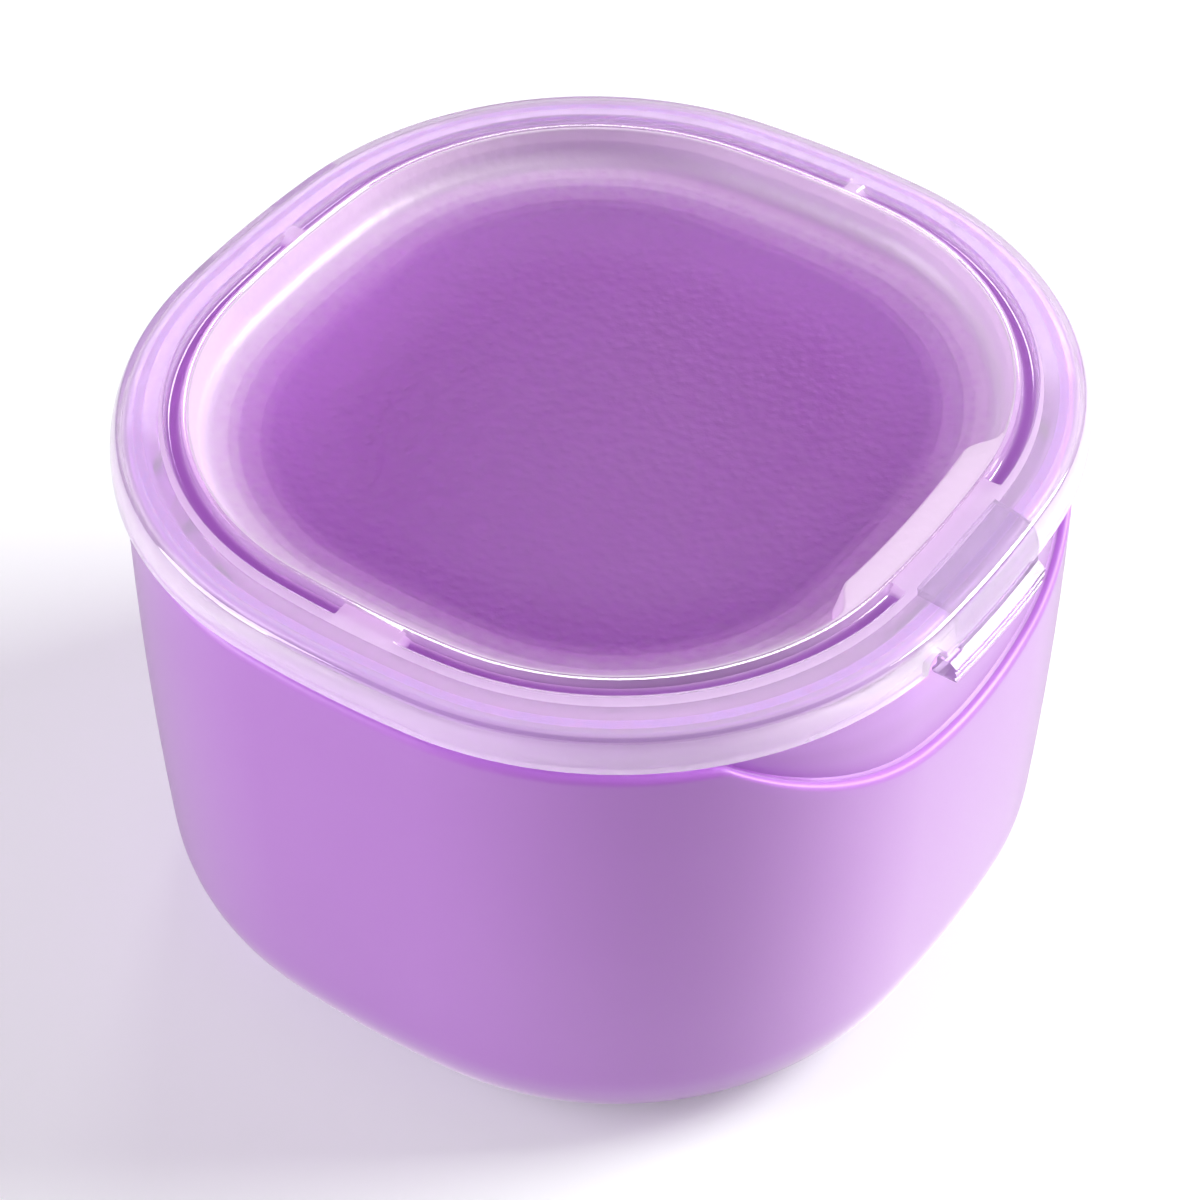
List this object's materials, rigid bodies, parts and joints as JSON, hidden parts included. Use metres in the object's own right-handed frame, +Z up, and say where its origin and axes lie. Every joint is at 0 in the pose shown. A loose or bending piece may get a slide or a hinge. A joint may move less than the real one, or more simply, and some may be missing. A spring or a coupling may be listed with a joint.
{
  "type": "denture case",
  "caption": "Rounded-square soaking cup with a lift-out strainer basket, a clear lid with a frosted dished panel on a rear pin hinge, and a sprung front tab.",
  "frame": {"origin": "middle of the cup's flat base", "axes": "+Z up through the lid, -Y towards the tab at the front, +Y towards the hinge"},
  "size_m": [0.095, 0.0964, 0.0644],
  "materials": {
    "cup": "fine satin moulding",
    "basket": "satin moulding",
    "seal": "milky silicone",
    "clear": "polished, clear",
    "frosted": "fine orange-peel frosting, clear beneath",
    "clear_tab": "polished, clear",
    "pin": "drawn wire"
  },
  "bodies": {
    "cup": {"cup": "cup", "hinge_pin": "pin"},
    "lid": {"lid_band": "clear", "lid_panel": "frosted", "seal_ring": "seal"},
    "tab": {"latch_tab": "clear_tab"},
    "basket": {"basket": "basket"}
  },
  "joints": [
    {"name": "lid_hinge", "type": "hinge", "parent": "cup", "child": "lid", "pos_m": [0, 0.0468, 0.0559], "axis": [-1, 0, 0], "range_deg": [0, 110]},
    {"name": "tab_flex", "type": "hinge", "parent": "lid", "child": "tab", "pos_m": [0, -0.04136, 0.0643], "axis": [-1, 0, 0], "range_deg": [0, 5], "stiffness_Nm_per_rad": 0.4},
    {"name": "basket_lift", "type": "slide", "parent": "cup", "child": "basket", "axis": [0, 0, 1], "range_m": [0, 0.005]}
  ]
}
